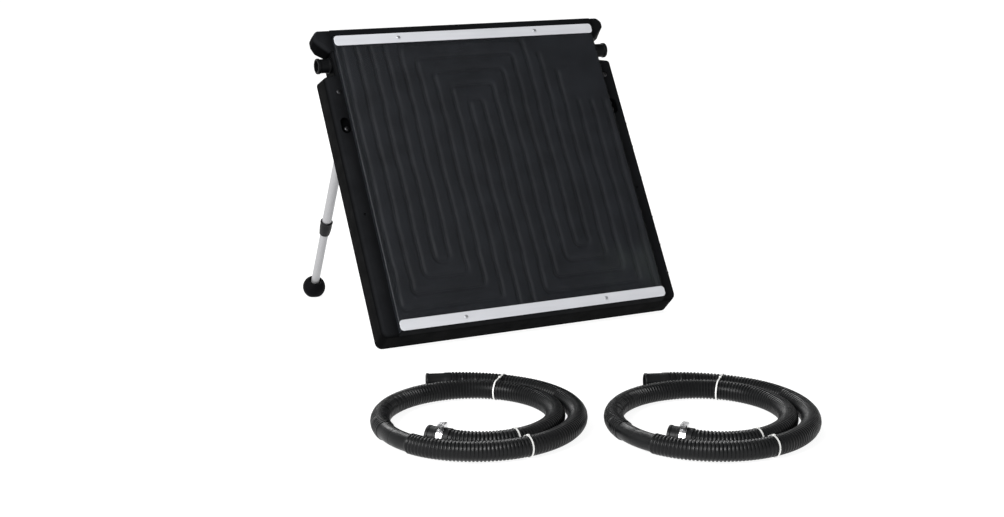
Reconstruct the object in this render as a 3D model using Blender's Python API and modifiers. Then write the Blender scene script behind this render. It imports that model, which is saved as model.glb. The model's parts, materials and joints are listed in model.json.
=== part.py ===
"""Solar pool-water heating panel on folding telescopic legs, with its two corrugated hoses.

The panel is a black moulded tray that carries a labyrinth absorber under a clear sheet, held by two
aluminium strips. Two legs fold out of the open back. The hoses lie coiled on the floor in front.

Metres, +Z up, the panel faces -Y, and the origin is on the floor below the middle of the panel and legs.
Panel pieces are modelled flat in the panel's own frame: x to the right, y up the panel, z out of its face,
with z = 0 on the front of the strips and y = 0 at the lower edge of the bottom strip.
"""

import math

import bmesh
import bpy
from mathutils import Matrix, Vector

MM = 0.001
GAP = 0.3 * MM

# Stance
TILT = math.radians(57.5)
LEG_LEAN = math.radians(29.5)
PANEL_Y = -0.2811
PANEL_Z = 0.05337

# Housing tray
HALF_WIDTH = 365.5 * MM
TRAY_BOTTOM = -4.5 * MM
TRAY_TOP = 714.5 * MM
FLANGE_Z = -17 * MM
BACK_Z = -75 * MM
FLANGE_THICK = 4 * MM
WALL = 4 * MM
BOTTOM_DRAFT = 11 * MM
NOTCH_X, NOTCH_Y = 338 * MM, 611 * MM
CORNER_RADIUS = 16 * MM
LUG_Z = (-50 * MM, -18.5 * MM)
SHOULDER_Y, SHOULDER_RADIUS = 595 * MM, 14 * MM
LEDGE_Z = (-31 * MM, -27.3 * MM)
LEDGE_WINDOW = (302 * MM, 24 * MM, 686 * MM)

# Absorber
ABSORBER_HALF = 327.5 * MM
ABSORBER_TOP = 710 * MM
ABSORBER_FRONT = -4.6 * MM
ABSORBER_BACK = -27 * MM
SHEET_BACK = -9.5 * MM
RIM = 4 * MM
GROOVE_PITCH = 34.8 * MM
GROOVE_RADIUS = 4.5 * MM
GROOVE_CORNER = 12 * MM
LOW_TURN, LOW_PITCH = 46 * MM, 33.5 * MM
HIGH_TURN, HIGH_PITCH = 671 * MM, 36 * MM
HEADER_ENDS = (628 * MM, 580 * MM, 502 * MM, 497 * MM)

# Ports
PORT_Y, PORT_Z = 642.5 * MM, -38 * MM
PORT_TIP = 370 * MM
PORT_RADIUS, PORT_LIP, PORT_BORE = 16 * MM, 17.3 * MM, 12.8 * MM
PORT_ROOT = 334 * MM
HEADER_X, HEADER_Y, HEADER_BACK = 250 * MM, (615 * MM, 670 * MM), -57 * MM
NECK_FRONT = -21.7 * MM

# Cover and strips
COVER = (325 * MM, 1 * MM, 697 * MM, -4.3 * MM, -2.3 * MM)
STRIP_LENGTH, STRIP_WIDTH, STRIP_THICK, STRIP_CORNER = 657 * MM, 24 * MM, 2 * MM, 8 * MM
STRIP_Y = (12 * MM, 685.5 * MM)
STRIP_SCREW_X = 174 * MM

# Leg bracket and its fasteners
FLANGE_SCREW = (339 * MM, 568 * MM)
BRACKET_BOLT = (337 * MM, 481 * MM)
RECESS, RECESS_HALF, RECESS_Z = (339.5 * MM, 487 * MM), (11 * MM, 19 * MM), -25 * MM
DIMPLE = (342.5 * MM, 275.5 * MM)
BRACKET_X = 334 * MM
BRACKET_HALF, EAR_THICK = 15 * MM, 2.6 * MM
BRACKET_Y = (462 * MM, 585 * MM)
EAR_Y = (470 * MM, 505 * MM)
PIVOT_Y, PIVOT_Z = 487 * MM, -50 * MM
PIN_RADIUS = 3 * MM

# Legs, measured down the leg from its pivot
UPPER_RADIUS, UPPER_BORE = 11 * MM, 10.3 * MM
UPPER_END = 289 * MM
UPPER_TOP = -5.5 * MM
COLLAR = (266 * MM, 308 * MM)
LOWER_RADIUS, LOWER_BORE = 9.7 * MM, 8.3 * MM
LOWER_TOP = 200 * MM
FOOT_RADIUS, FOOT_FLAT = 27 * MM, 4.5 * MM
SOCKET_DEPTH = 13 * MM

# Hoses
HOSE_RADIUS = 18.7 * MM
HOSE_Z = 21 * MM
HOSE_CENTRES = ((-0.374, -0.750), (0.014, -0.939))
HOSE_TURN = math.radians(-26)
OUTER_COIL, INNER_COIL = 189 * MM, 151 * MM
CUFF_BORE, CUFF_WALL, CUFF_RADIUS, CUFF_MOUTH = 19.1 * MM, 20.2 * MM, 20.9 * MM, 16 * MM
CUFF_GRIP, CUFF_FREE = 26 * MM, 20 * MM
HOSE_START, HOSE_END, HOSE_STEPS = -20, 556, 74
HOSE_STRAIGHT = 30 * MM
CLAMP_BORE, CLAMP_HALF, CLAMP_BACK = 20.5 * MM, 6 * MM, 9 * MM
TIE_PLACES = (("double", (15, 375)), ("inner", (510,)), ("outer", (150,)))
TIE_WIDTH, TIE_THICK, TIE_BORE = 5 * MM, 0.9 * MM, 19.4 * MM

ROUND = 24


def make_material(name, colour, roughness, metallic=0.0, alpha=1.0):
    material = bpy.data.materials.new(name)
    material.use_nodes = True
    shader = material.node_tree.nodes["Principled BSDF"]
    shader.inputs["Base Color"].default_value = (*colour, 1)
    shader.inputs["Roughness"].default_value = roughness
    shader.inputs["Metallic"].default_value = metallic
    shader.inputs["Alpha"].default_value = alpha
    return material


def clear_scene():
    for old in list(bpy.data.objects):
        bpy.data.objects.remove(old, do_unlink=True)
    for old in list(bpy.data.collections):
        bpy.data.collections.remove(old)


clear_scene()
PARTS = bpy.data.collections.new("solar_pool_heater")
CUTTERS = bpy.data.collections.new("cutters")
bpy.context.scene.collection.children.link(PARTS)
bpy.context.scene.collection.children.link(CUTTERS)

BLACK = make_material("black_housing", (0.014, 0.014, 0.015), 0.5)
CHARCOAL = make_material("charcoal_absorber", (0.022, 0.023, 0.026), 0.45)
CLEAR = make_material("clear_sheet", (0.9, 0.93, 0.93), 0.05, alpha=0.15)
ALUMINIUM = make_material("satin_aluminium", (0.68, 0.69, 0.71), 0.35, 1.0)
STEEL = make_material("bright_steel", (0.62, 0.62, 0.63), 0.25, 1.0)
RUBBER = make_material("black_rubber", (0.012, 0.012, 0.013), 0.7)
HOSE_BLACK = make_material("black_hose", (0.012, 0.013, 0.015), 0.38)
WHITE = make_material("white_tie", (0.82, 0.82, 0.80), 0.55)


def frame_empty(name, location, x_angle):
    """An empty that holds the pieces of one frame; pieces are modelled in its axes."""
    empty = bpy.data.objects.new(name, None)
    PARTS.objects.link(empty)
    empty.location = location
    empty.rotation_euler = (x_angle, 0, 0)
    return empty


def add(name, mesh, material, parent=None):
    obj = bpy.data.objects.new(name, mesh)
    PARTS.objects.link(obj)
    mesh.materials.append(material)
    obj.parent = parent
    return obj


def mesh_of(name, bm):
    bm.normal_update()
    bmesh.ops.recalc_face_normals(bm, faces=bm.faces)
    mesh = bpy.data.meshes.new(name)
    bm.to_mesh(mesh)
    bm.free()
    return mesh


def box_mesh(name, low, high):
    """A block between two corners."""
    bm = bmesh.new()
    bmesh.ops.create_cube(bm, size=1)
    for vert in bm.verts:
        vert.co = [(a + b) / 2 + (b - a) * c for a, b, c in zip(low, high, vert.co)]
    return mesh_of(name, bm)


def cylinder_mesh(name, start, end, radius, sides=ROUND):
    """A round bar from one point to another."""
    start, end = Vector(start), Vector(end)
    bm = bmesh.new()
    bmesh.ops.create_cone(
        bm, cap_ends=True, segments=sides, radius1=radius, radius2=radius, depth=(end - start).length
    )
    turn = (end - start).to_track_quat("Z", "Y")
    for vert in bm.verts:
        vert.co = turn @ vert.co + (start + end) / 2
    return mesh_of(name, bm)


def evaluated_mesh(obj):
    bpy.context.view_layer.update()
    graph = bpy.context.evaluated_depsgraph_get()
    return bpy.data.meshes.new_from_object(obj.evaluated_get(graph))


def curve_to_mesh(name, curve):
    """The mesh of a curve, with its caps welded on."""
    obj = bpy.data.objects.new(name, curve)
    CUTTERS.objects.link(obj)
    mesh = evaluated_mesh(obj)
    bpy.data.objects.remove(obj)
    bm = bmesh.new()
    bm.from_mesh(mesh)
    bmesh.ops.remove_doubles(bm, verts=bm.verts, dist=1e-6)
    bmesh.ops.dissolve_limit(bm, angle_limit=0.001, verts=bm.verts, edges=bm.edges)
    return mesh_of(name, bm)


def slab_mesh(name, outline, low, high):
    """A flat outline given thickness along z."""
    curve = bpy.data.curves.new(name, "CURVE")
    curve.dimensions = "2D"
    curve.fill_mode = "BOTH"
    curve.extrude = (high - low) / 2
    spline = curve.splines.new("POLY")
    spline.points.add(len(outline) - 1)
    for point, (x, y) in zip(spline.points, outline):
        point.co = (x, y, 0, 1)
    spline.use_cyclic_u = True
    mesh = curve_to_mesh(name, curve)
    for vert in mesh.vertices:
        vert.co.z += (low + high) / 2
    return mesh


def tube_curve(name, points, radius, resolution=2):
    curve = bpy.data.curves.new(name, "CURVE")
    curve.dimensions = "3D"
    curve.bevel_depth = radius
    curve.bevel_resolution = resolution
    curve.use_fill_caps = True
    spline = curve.splines.new("POLY")
    spline.points.add(len(points) - 1)
    for point, place in zip(spline.points, points):
        point.co = (*place, 1)
    return curve


def bevel_edges(mesh, width, segments, wanted):
    """Rounds the edges that wanted(first corner, second corner) picks."""
    bm = bmesh.new()
    bm.from_mesh(mesh)
    edges = [edge for edge in bm.edges if wanted(edge.verts[0].co, edge.verts[1].co)]
    bmesh.ops.bevel(bm, geom=edges, offset=width, segments=segments, profile=0.5, affect="EDGES")
    bm.to_mesh(mesh)
    bm.free()


def combine(base, others, operation):
    """Cuts or joins a list of meshes with a base object by Boolean modifiers, and applies them."""
    for mesh in others:
        tool = bpy.data.objects.new(f"{base.name}_{mesh.name}", mesh)
        CUTTERS.objects.link(tool)
        tool.parent = base.parent
        tool.hide_render = True
        tool.display_type = "WIRE"
        modifier = base.modifiers.new(mesh.name, "BOOLEAN")
        modifier.operation = operation
        modifier.object = tool


def settle(obj):
    """Applies an object's modifiers, so that the next ones start from its final mesh."""
    mesh = evaluated_mesh(obj)
    obj.modifiers.clear()
    obj.data = mesh


def turned(name, profile, material, parent, sides=ROUND):
    """A piece turned about z from a profile of (radius, z), closed on itself or on the axis."""
    mesh = bpy.data.meshes.new(name)
    closed = profile[0][0] > 0
    edges = [(i, i + 1) for i in range(len(profile) - 1)]
    if closed:
        edges.append((len(profile) - 1, 0))
    mesh.from_pydata([(r, 0, z) for r, z in profile], edges, [])
    obj = add(name, mesh, material, parent)
    screw = obj.modifiers.new("turn", "SCREW")
    screw.steps = screw.render_steps = sides
    screw.use_merge_vertices = True
    screw.merge_threshold = 1e-6
    screw.use_smooth_shade = True
    return obj


def arc(cx, cy, radius, start, end, steps):
    """Points on a circular arc, both ends included, angles in degrees."""
    angles = [math.radians(start + (end - start) * i / steps) for i in range(steps + 1)]
    return [(cx + radius * math.cos(a), cy + radius * math.sin(a)) for a in angles]


def both_sides(right):
    """A symmetric outline from its right half, listed from the bottom up."""
    return right + [(-x, y) for x, y in reversed(right)]


# ---------------------------------------------------------------- panel


def tray_outline(inset):
    """The tray seen from the front: full width up to the shoulders, then notched in for the ports."""
    wide, low, high = HALF_WIDTH - inset, TRAY_BOTTOM + inset, TRAY_TOP - inset
    corner = CORNER_RADIUS - inset / 2
    shoulder = SHOULDER_Y - inset / 2
    notch = NOTCH_X - inset
    right = arc(wide - corner, low + corner, corner, -90, 0, 4)
    right += arc(wide - SHOULDER_RADIUS, shoulder, SHOULDER_RADIUS, 0, 70, 3)
    right += [(notch, NOTCH_Y - inset / 2)]
    right += arc(notch - 6 * MM, high - 6 * MM, 6 * MM, 0, 90, 2)
    return both_sides(right)


def lug_outline(side):
    """The rounded lug above each port."""
    right = [(326, 664), (338, 664), (352, 673), (365, 686), (370, 695), (369, 706), (362, 714)]
    right += [(350, 719), (326, 719)]
    return [(side * x * MM, y * MM) for x, y in right]


def oval(x, y, half_width, half_height, steps=5):
    right = arc(x, y + half_height - half_width, half_width, 0, 180, steps)
    return right + arc(x, y - half_height + half_width, half_width, 180, 360, steps)


def tray_mesh(name, inset, low, high):
    """The tray's form as a block, its bottom wall leaning outward toward the back."""
    mesh = slab_mesh(name, tray_outline(inset), low, high)
    if inset == 0:
        bevel_edges(mesh, 5 * MM, 2, lambda a, b: min(a.z, b.z) > high - 1e-5)
    for vert in mesh.vertices:
        if vert.co.y < 20 * MM:
            depth = (FLANGE_Z - vert.co.z) / (FLANGE_Z - BACK_Z)
            vert.co.y -= BOTTOM_DRAFT * max(0, depth)
    return mesh


def housing_side(side):
    """What is joined to the tray, and what is cut from it, on one side."""
    lug = slab_mesh(f"lug{side}", lug_outline(side), *LUG_Z)
    xs = sorted((side * 326 * MM, side * 353 * MM))
    boss = box_mesh(f"boss{side}", (xs[0], 458 * MM, LEDGE_Z[0]), (xs[1], 589 * MM, -19 * MM))
    xs = sorted((side * (HEADER_X - 5 * MM), side * 334.2 * MM))
    room = box_mesh(f"header_room{side}", (xs[0], 612 * MM, -62 * MM), (xs[1], 673 * MM, -21.3 * MM))
    through_wall = (side * 330 * MM, PORT_Y, PORT_Z), (side * 345 * MM, PORT_Y, PORT_Z)
    cuts = [room, cylinder_mesh(f"port_hole{side}", *through_wall, PORT_RADIUS + 1.8 * MM)]
    x, y = RECESS
    cuts.append(slab_mesh(f"recess{side}", oval(side * x, y, *RECESS_HALF), RECESS_Z, -10 * MM))
    for kind, (x, y), radius, floor in (
        ("bolt_hole", BRACKET_BOLT, 2.9 * MM, -35 * MM),
        ("screw_hole", FLANGE_SCREW, 2.4 * MM, -35 * MM),
        ("dimple", DIMPLE, 3 * MM, -19.5 * MM),
    ):
        hole = (side * x, y, floor), (side * x, y, -10 * MM)
        cuts.append(cylinder_mesh(f"{kind}{side}", *hole, radius, 10))
    return [lug, boss], cuts


def make_housing(panel):
    housing = add("housing", tray_mesh("tray", 0, BACK_Z, FLANGE_Z), BLACK, panel)
    hollow = tray_mesh("hollow", WALL, BACK_Z - 10 * MM, FLANGE_Z - FLANGE_THICK)
    combine(housing, [hollow], "DIFFERENCE")
    settle(housing)
    ledge = NOTCH_X - 2 * MM
    joined = [box_mesh("ledge", (-ledge, -2 * MM, LEDGE_Z[0]), (ledge, 712 * MM, -19 * MM))]
    rebate = ABSORBER_HALF + 0.5 * MM
    window, low, high = LEDGE_WINDOW
    cuts = [
        box_mesh("rebate", (-rebate, -0.5 * MM, LEDGE_Z[1]), (rebate, ABSORBER_TOP + 0.5 * MM, 10 * MM)),
        box_mesh("window", (-window, low, -50 * MM), (window, high, 0)),
    ]
    for side in (-1, 1):
        side_joined, side_cuts = housing_side(side)
        joined += side_joined
        cuts += side_cuts
    combine(housing, joined, "UNION")
    settle(housing)
    combine(housing, cuts, "DIFFERENCE")


def groove_x(index):
    return (index - 9) * GROOVE_PITCH


def rounded_route(corners):
    """A route through its corners, each rounded to the groove's corner radius."""
    points = [corners[0]]
    for before, here, after in zip(corners, corners[1:], corners[2:]):
        here = Vector(here)
        inward = (Vector(before) - here).normalized() * GROOVE_CORNER
        outward = (Vector(after) - here).normalized() * GROOVE_CORNER
        for step in range(4):
            t = step / 3
            points.append(here + inward * (1 - t) ** 2 + outward * t**2)
    points.append(corners[-1])
    return points


def groove_routes():
    """The pinch lines between the water channels: four nested snakes, a middle loop and a border line."""
    routes = []
    for k in range(4):
        low = LOW_TURN + LOW_PITCH * k
        high = HIGH_TURN - HIGH_PITCH * (3 - k)
        left, right = (k, 7 - k), (10 + k, 17 - k)
        corners = [(groove_x(left[0]), ABSORBER_TOP - 18 * MM), (groove_x(left[0]), low)]
        corners += [(groove_x(left[1]), low), (groove_x(left[1]), high)]
        corners += [(groove_x(right[0]), high), (groove_x(right[0]), low)]
        corners += [(groove_x(right[1]), low), (groove_x(right[1]), HEADER_ENDS[3 - k])]
        routes.append(corners)
    top = HIGH_TURN - 4 * HIGH_PITCH
    routes.append(
        [(groove_x(8), 22 * MM), (groove_x(8), top), (groove_x(9), top), (groove_x(9), 22 * MM)]
    )
    routes.append([(groove_x(18), 22 * MM), (groove_x(18), HEADER_ENDS[3])])
    return routes


def make_absorber(panel):
    corner = (ABSORBER_HALF, ABSORBER_TOP, ABSORBER_FRONT)
    mesh = box_mesh("plate", (-ABSORBER_HALF, 0, ABSORBER_BACK), corner)
    front = ABSORBER_FRONT - 1e-5
    bevel_edges(mesh, 3 * MM, 2, lambda a, b: min(a.z, b.z) > front or abs(a.z - b.z) > 1e-3)
    absorber = add("absorber", mesh, CHARCOAL, panel)
    inner = ABSORBER_HALF - RIM
    combine(
        absorber,
        [box_mesh("under", (-inner, RIM, ABSORBER_BACK - 0.01), (inner, ABSORBER_TOP - RIM, SHEET_BACK))],
        "DIFFERENCE",
    )
    settle(absorber)
    cuts = []
    for side in (-1, 1):
        xs = sorted((side * (inner - 2 * MM), side * (ABSORBER_HALF + 2 * MM)))
        low = (xs[0], HEADER_Y[0] - GAP, ABSORBER_BACK - 2 * MM)
        cuts.append(box_mesh(f"neck_room{side}", low, (xs[1], HEADER_Y[1] + GAP, NECK_FRONT + GAP)))
        for y in STRIP_Y:
            place = (side * STRIP_SCREW_X, y)
            hole = (*place, -0.03), (*place, 0)
            cuts.append(cylinder_mesh(f"screw_hole{side}_{y:.3f}", *hole, 2.3 * MM, 8))
    level = ABSORBER_FRONT + 1.3 * MM
    for number, corners in enumerate(groove_routes()):
        route = [(x, y, level) for x, y in rounded_route(corners)]
        groove = tube_curve(f"groove{number}", route, GROOVE_RADIUS, 1)
        cuts.append(curve_to_mesh(f"groove{number}", groove))
    combine(absorber, cuts, "DIFFERENCE")
    return absorber


def make_headers(panel):
    """The two water boxes behind the sheet, each with a neck through the absorber's rim."""
    low, high = HEADER_Y
    shoulder = ABSORBER_HALF - RIM - GAP
    for side, word in ((-1, "left"), (1, "right")):
        xs = sorted((side * HEADER_X, side * shoulder))
        block = box_mesh("block", (xs[0], low, HEADER_BACK), (xs[1], high, SHEET_BACK - GAP))
        header = add(f"{word}_header", block, CHARCOAL, panel)
        xs = sorted((side * (shoulder - 1 * MM), side * (PORT_ROOT - GAP)))
        neck = box_mesh("neck", (xs[0], low, HEADER_BACK), (xs[1], high, NECK_FRONT))
        combine(header, [neck], "UNION")


def make_ports(panel):
    """Hollow spigots with a rolled lip, welded to the headers and led out of the notches."""
    inside, tip = PORT_ROOT, PORT_TIP
    for side, word in ((-1, "left"), (1, "right")):
        profile = [
            (PORT_BORE, inside), (PORT_BORE, tip), (PORT_LIP - 2 * MM, tip), (PORT_LIP, tip - 2 * MM),
            (PORT_LIP, tip - 6 * MM), (PORT_RADIUS, tip - 9 * MM), (PORT_RADIUS, inside),
        ]
        port = turned(f"{word}_port", profile, BLACK, panel)
        port.location = (0, PORT_Y, PORT_Z)
        port.rotation_euler = (0, side * math.pi / 2, 0)


def make_cover(panel):
    half, low, high, back, front = COVER
    sheet = box_mesh("clear_cover", (-half, low, back), (half, high, front))
    cover = add("clear_cover", sheet, CLEAR, panel)
    holes = [
        cylinder_mesh(f"hole{x:.2f}_{y:.2f}", (x, y, -0.01), (x, y, 0.01), 2.6 * MM, 8)
        for x in (-STRIP_SCREW_X, STRIP_SCREW_X)
        for y in STRIP_Y
    ]
    combine(cover, holes, "DIFFERENCE")


def screw_profile(head, head_height, shank, reach):
    """A domed pan-head screw, its head resting at z = 0."""
    return [
        (0, head_height), (head * 0.55, head_height * 0.92), (head * 0.88, head_height * 0.62),
        (head, head_height * 0.2), (head, 0), (shank, 0), (shank, -reach), (0, -reach),
    ]


def make_strips(panel):
    for word, y in zip(("bottom", "top"), STRIP_Y):
        half, tall, corner = STRIP_LENGTH / 2, STRIP_WIDTH / 2, STRIP_CORNER
        right = arc(half - corner, y - tall + corner, corner, -90, 0, 4)
        right += arc(half - corner, y + tall - corner, corner, 0, 90, 4)
        mesh = slab_mesh(f"{word}_strip", both_sides(right), -STRIP_THICK, 0)
        strip = add(f"{word}_strip", mesh, ALUMINIUM, panel)
        for side, hand in ((-1, "left"), (1, "right")):
            x = side * STRIP_SCREW_X
            hole = cylinder_mesh(f"hole{side}", (x, y, -0.01), (x, y, 0.01), 2.5 * MM, 12)
            combine(strip, [hole], "DIFFERENCE")
            profile = screw_profile(4.4 * MM, 2.4 * MM, 2 * MM, 14 * MM)
            screw = turned(f"{word}_strip_screw_{hand}", profile, STEEL, panel, 16)
            screw.location = (x, y, GAP)


# ---------------------------------------------------------------- leg brackets


def make_bracket(panel, side, word):
    x0 = side * BRACKET_X
    plate = box_mesh(
        "plate",
        (x0 - BRACKET_HALF, BRACKET_Y[0], LEDGE_Z[0] - GAP - 2.8 * MM),
        (x0 + BRACKET_HALF, BRACKET_Y[1], LEDGE_Z[0] - GAP),
    )
    bracket = add(f"{word}_leg_bracket", plate, STEEL, panel)
    joined, cuts = [], []
    for hand in (-1, 1):
        xs = sorted((x0 + hand * (BRACKET_HALF - EAR_THICK), x0 + hand * BRACKET_HALF))
        outline = [(EAR_Y[0], -33 * MM), (EAR_Y[0], PIVOT_Z)]
        outline += arc(PIVOT_Y, PIVOT_Z, 12 * MM, 200, 340, 5)
        outline += [(EAR_Y[1], PIVOT_Z), (EAR_Y[1], -33 * MM)]
        ear = slab_mesh(f"ear{hand}", outline, xs[0], xs[1])
        for vert in ear.vertices:
            vert.co = (vert.co.z, vert.co.x, vert.co.y)
        joined.append(ear)
    pivot = (x0, PIVOT_Y, PIVOT_Z)
    reach = Vector((0.03, 0, 0))
    through = Vector(pivot) - reach, Vector(pivot) + reach
    cuts.append(cylinder_mesh("pin_hole", *through, PIN_RADIUS + GAP, 16))
    for (x, y), radius in ((BRACKET_BOLT, 2.9 * MM), (FLANGE_SCREW, 2.4 * MM)):
        place = (side * x, y)
        cuts.append(cylinder_mesh(f"hole{y:.3f}", (*place, -0.045), (*place, -0.02), radius, 10))
    combine(bracket, joined, "UNION")
    combine(bracket, cuts, "DIFFERENCE")

    profile = screw_profile(5.6 * MM, 3.6 * MM, 2.5 * MM, 12 * MM)
    bolt = turned(f"{word}_bracket_bolt", profile, STEEL, panel, 16)
    bolt.location = (side * BRACKET_BOLT[0], BRACKET_BOLT[1], RECESS_Z + GAP)
    profile = screw_profile(4.8 * MM, 2.8 * MM, 2 * MM, 22 * MM)
    screw = turned(f"{word}_flange_screw", profile, STEEL, panel, 16)
    screw.location = (side * FLANGE_SCREW[0], FLANGE_SCREW[1], FLANGE_Z + GAP)
    under = LEDGE_Z[0] - GAP - 2.8 * MM - GAP
    for kind, (x, y), bore, size in (
        ("bracket", BRACKET_BOLT, 2.9 * MM, 4.6 * MM),
        ("flange", FLANGE_SCREW, 2.4 * MM, 3.8 * MM),
    ):
        profile = [(bore, under), (size, under), (size, under - 2.6 * MM), (bore, under - 2.6 * MM)]
        nut = turned(f"{word}_{kind}_nut", profile, STEEL, panel, 6)
        nut.location = (side * x, y, 0)


def make_pin(panel, side, word):
    """The hinge pin: a headed pin through both ears, held by a push-on cap at its inner end."""
    half = BRACKET_HALF + GAP
    profile = [
        (0, half + 2.5 * MM), (5.5 * MM, half + 2.5 * MM), (6.5 * MM, half + 1.5 * MM), (6.5 * MM, half),
        (PIN_RADIUS, half), (PIN_RADIUS, -half - 4 * MM), (0, -half - 4 * MM),
    ]
    pin = turned(f"{word}_pivot_pin", profile, STEEL, panel, 16)
    bore, end = PIN_RADIUS + GAP, -half - 3 * MM
    profile = [(bore, -half), (7 * MM, -half), (6 * MM, end), (bore, end)]
    cap = turned(f"{word}_pin_cap", profile, STEEL, panel, 16)
    for piece in (pin, cap):
        piece.location = (side * BRACKET_X, PIVOT_Y, PIVOT_Z)
        piece.rotation_euler = (0, side * math.pi / 2, 0)


# ---------------------------------------------------------------- legs


def panel_point(x, y, z):
    """A point of the panel's frame in the world."""
    return Vector(
        (
            x,
            PANEL_Y + y * math.cos(TILT) - z * math.sin(TILT),
            PANEL_Z + y * math.sin(TILT) + z * math.cos(TILT),
        )
    )


def tube_profile(outer, bore, top, end):
    return [(outer, -top), (outer, -end), (bore, -end), (bore, -top)]


def make_leg(side, word):
    """One telescopic leg, modelled down its own -z from the pivot."""
    pivot = panel_point(side * BRACKET_X, PIVOT_Y, PIVOT_Z)
    leg = frame_empty(f"{word}_leg_frame", pivot, LEG_LEAN)
    foot_centre = (pivot.z - FOOT_RADIUS + FOOT_FLAT) / math.cos(LEG_LEAN)

    upper = turned(
        f"{word}_upper_tube", tube_profile(UPPER_RADIUS, UPPER_BORE, UPPER_TOP, UPPER_END), ALUMINIUM, leg
    )
    hole = cylinder_mesh("pin_hole", (-0.02, 0, 0), (0.02, 0, 0), PIN_RADIUS + GAP, 16)
    combine(upper, [hole], "DIFFERENCE")

    top, low = COLLAR
    step = UPPER_END + GAP
    profile = [
        (UPPER_RADIUS + GAP, -top), (13.6 * MM, -top), (15 * MM, -top - 3 * MM),
        (15 * MM, -top - 17 * MM), (13.6 * MM, -top - 21 * MM), (12.4 * MM, -low + 3 * MM),
        (11.4 * MM, -low), (LOWER_RADIUS + GAP, -low), (LOWER_RADIUS + GAP, -step),
        (UPPER_RADIUS + GAP, -step),
    ]
    turned(f"{word}_twist_collar", profile, BLACK, leg)

    end = foot_centre - FOOT_RADIUS + SOCKET_DEPTH
    turned(f"{word}_lower_tube", tube_profile(LOWER_RADIUS, LOWER_BORE, LOWER_TOP, end), ALUMINIUM, leg)
    lip, stem = LOWER_TOP - GAP, LOWER_TOP + 14 * MM
    guide = UPPER_BORE - GAP
    profile = [
        (0, -lip + 15 * MM), (guide - 1 * MM, -lip + 15 * MM), (guide, -lip + 14 * MM), (guide, -lip),
        (LOWER_BORE - GAP, -lip), (LOWER_BORE - GAP, -stem), (0, -stem),
    ]
    turned(f"{word}_slide_plug", profile, BLACK, leg)

    mouth = math.sqrt(FOOT_RADIUS**2 - (LOWER_RADIUS + 2.5 * MM) ** 2)
    opening = math.degrees(math.asin(mouth / FOOT_RADIUS))
    ball = arc(0, -foot_centre, FOOT_RADIUS, opening, -90, 9)
    socket = LOWER_RADIUS + GAP
    floor = -end - GAP
    profile = [(max(r, 0), z) for r, z in ball[:-1]] + [(0, -foot_centre - FOOT_RADIUS), (0, floor)]
    profile += [(socket, floor), (socket, ball[0][1])]
    foot = turned(f"{word}_foot", profile, RUBBER, leg)
    ground = box_mesh("ground", (-1, -1, -1), (1, 1, 0))
    to_world = Matrix.Translation(pivot) @ Matrix.Rotation(LEG_LEAN, 4, "X")
    ground.transform(to_world.inverted())
    combine(foot, [ground], "DIFFERENCE")


# ---------------------------------------------------------------- hoses


def coil_radius(angle):
    """Radius of the coil's centreline, angles in degrees clockwise from the far side."""
    inward = min(1, max(0, (angle - 200) / 170))
    inward = inward * inward * (3 - 2 * inward)
    radius = OUTER_COIL + (INNER_COIL - OUTER_COIL) * inward
    flare = max(0, 30 - angle) ** 2 * 0.0083 * MM
    tuck = max(0, angle - 500) ** 2 * 0.002 * MM
    return radius + flare - tuck - max(0, angle - 370) * 0.04 * MM


def coil_place(centre, angle, radius):
    turn = math.radians(90 - angle) + HOSE_TURN
    return Vector((centre[0] + radius * math.cos(turn), centre[1] + radius * math.sin(turn), HOSE_Z))


def hose_point(centre, angle):
    return coil_place(centre, angle, coil_radius(angle))


def hose_frame(centre, angle):
    """A point of the hose with its direction of travel."""
    ahead = hose_point(centre, angle + 1) - hose_point(centre, angle - 1)
    return hose_point(centre, angle), ahead.normalized()


def matrix_of(x, y, z, place):
    """A placing from three axes and a point."""
    return Matrix.Translation(place) @ Matrix((x, y, z)).transposed().to_4x4()


def stand_along(obj, place, direction):
    """Turns a piece modelled along z so that it lies along the hose, its x level and its y up."""
    across = Vector((0, 0, 1)).cross(direction).normalized()
    obj.matrix_world = matrix_of(across, direction.cross(across), direction, place)


def band_mesh(name, half_wide, half_tall, length):
    """A flat rectangular loop around one or two hose turns."""
    bm = bmesh.new()
    loops = []
    for grow, z in ((TIE_THICK, -length / 2), (TIE_THICK, length / 2), (0, length / 2), (0, -length / 2)):
        corner = 9 * MM
        x, y = half_wide + grow - corner, half_tall + grow - corner
        ring = arc(x, y, corner, 0, 90, 3) + arc(-x, y, corner, 90, 180, 3)
        ring += arc(-x, -y, corner, 180, 270, 3) + arc(x, -y, corner, 270, 360, 3)
        loops.append([bm.verts.new((a, b, z)) for a, b in ring])
    for first, second in zip(loops, loops[1:] + loops[:1]):
        for i in range(len(first)):
            j = (i + 1) % len(first)
            bm.faces.new((first[i], first[j], second[j], second[i]))
    return mesh_of(name, bm)


def hose_route(centre):
    """The hose's centreline: a coil of one and two thirds turns between two short straight ends."""
    angles = [HOSE_START + (HOSE_END - HOSE_START) * i / HOSE_STEPS for i in range(HOSE_STEPS + 1)]
    first, first_way = hose_frame(centre, HOSE_START)
    last, last_way = hose_frame(centre, HOSE_END)
    return (
        [first - first_way * HOSE_STRAIGHT]
        + [hose_point(centre, angle) for angle in angles]
        + [last + last_way * HOSE_STRAIGHT]
    )


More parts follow.
